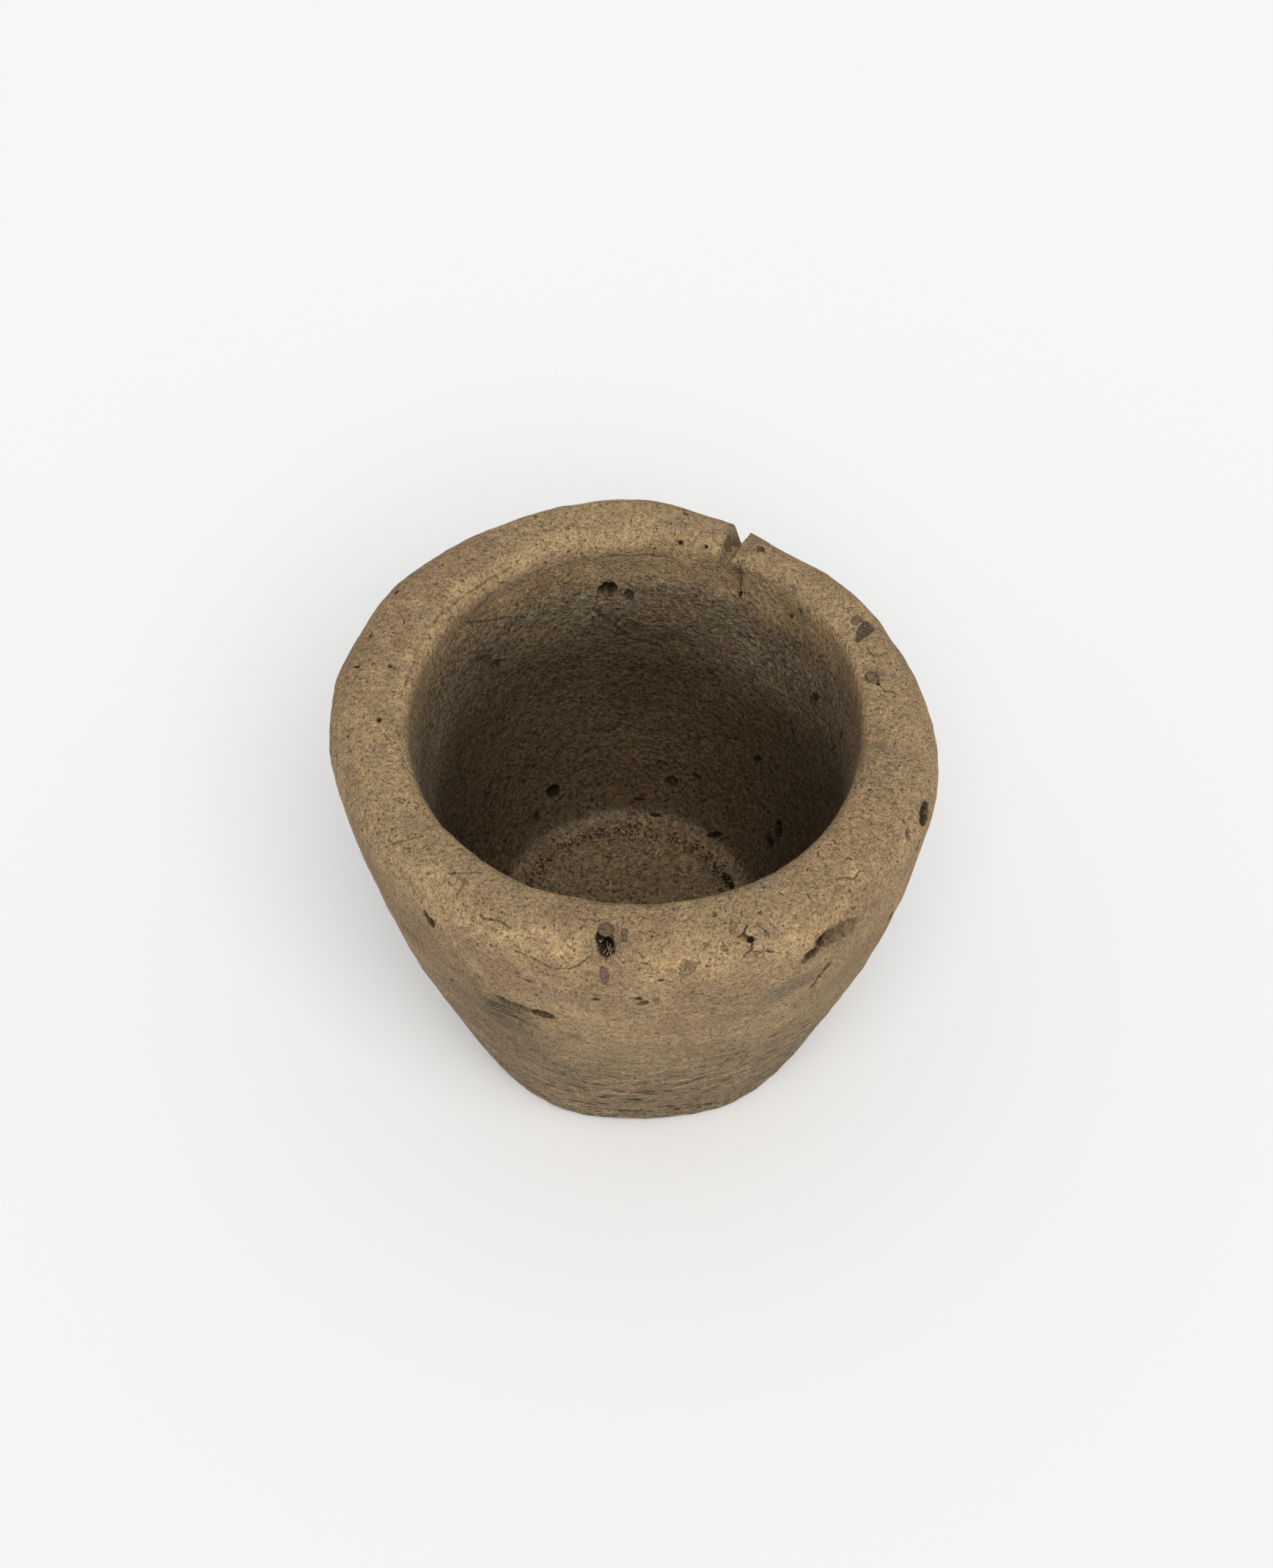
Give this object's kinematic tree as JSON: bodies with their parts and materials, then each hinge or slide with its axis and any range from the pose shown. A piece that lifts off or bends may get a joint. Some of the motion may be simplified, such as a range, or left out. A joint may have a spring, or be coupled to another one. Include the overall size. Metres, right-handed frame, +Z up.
{
  "type": "clay mortar",
  "caption": "Hand-built open mortar of coarse straw-tempered clay: thick rounded rim with a notch, deep round bowl, flared outside, flat foot.",
  "frame": {"origin": "on the ground under the middle of the vessel", "axes": "+Z up out of the bowl; -Y is the side with the hole through the rim's crust; the notch in the rim is at 65 degrees from +X towards +Y"},
  "size_m": [0.286, 0.2795, 0.221],
  "materials": {
    "clay": "rough unglazed straw-tempered earthenware",
    "grog": "rough brown fired-clay chip",
    "purple_grog": "matt purple-brown fired-clay chip",
    "dark_stone": "grainy dark grey stone",
    "pink_stone": "matt pinkish pebble",
    "white_stone": "pale grain",
    "straw": "dry straw",
    "crumbs": "dry clay crumbs"
  },
  "bodies": {
    "root": {"mortar_body": "clay", "rim_stone": "dark_stone", "rim_grog_chip": "grog", "rim_crack_chip": "grog", "rim_white_pebble": "white_stone", "front_grog_chip": "purple_grog", "hole_chip_upper": "grog", "hole_chip_right": "grog", "front_rim_chips": "grog", "notch_grog_chip": "purple_grog", "cavity_stone": "pink_stone", "hole_straw": "straw", "floor_straw": "straw", "floor_crumbs": "crumbs"}
  },
  "joints": []
}
